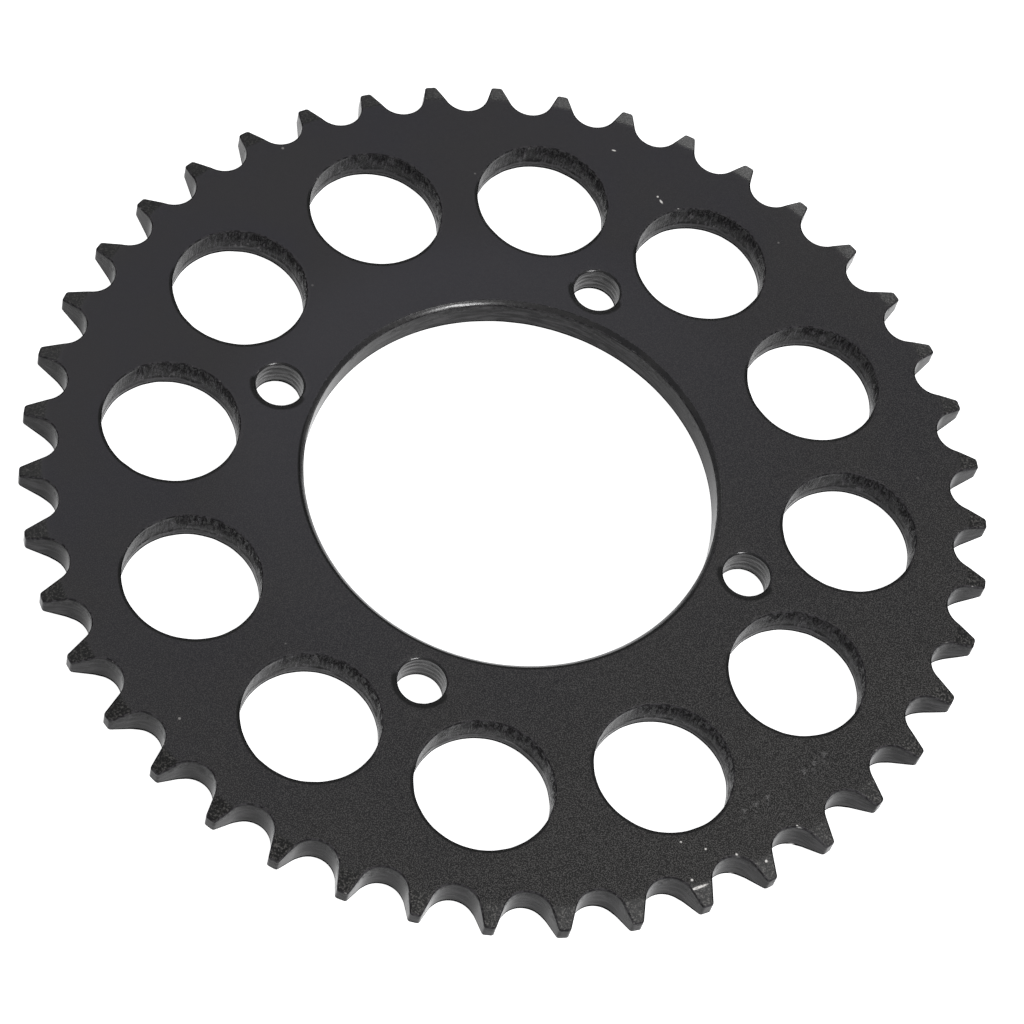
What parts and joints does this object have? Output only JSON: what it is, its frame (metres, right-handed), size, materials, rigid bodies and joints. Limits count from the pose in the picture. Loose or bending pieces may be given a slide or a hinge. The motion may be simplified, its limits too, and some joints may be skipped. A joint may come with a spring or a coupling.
{
  "type": "chain sprocket",
  "caption": "Flat steel rear chain sprocket with a large hub bore, a bolt circle, a ring of round lightening holes and a toothed rim.",
  "frame": {"origin": "centre of the bore, half way through the plate's thickness", "axes": "+Z along the sprocket's axis, out of the front face; two of the bolt holes lie on the X axis and two on the Y axis"},
  "size_m": [0.1783, 0.1783, 0.007],
  "materials": {
    "coated_steel": "satin black coating over steel, fine grained, rubbed at the edges"
  },
  "bodies": {
    "root": {"sprocket_plate": "coated_steel"}
  },
  "joints": []
}
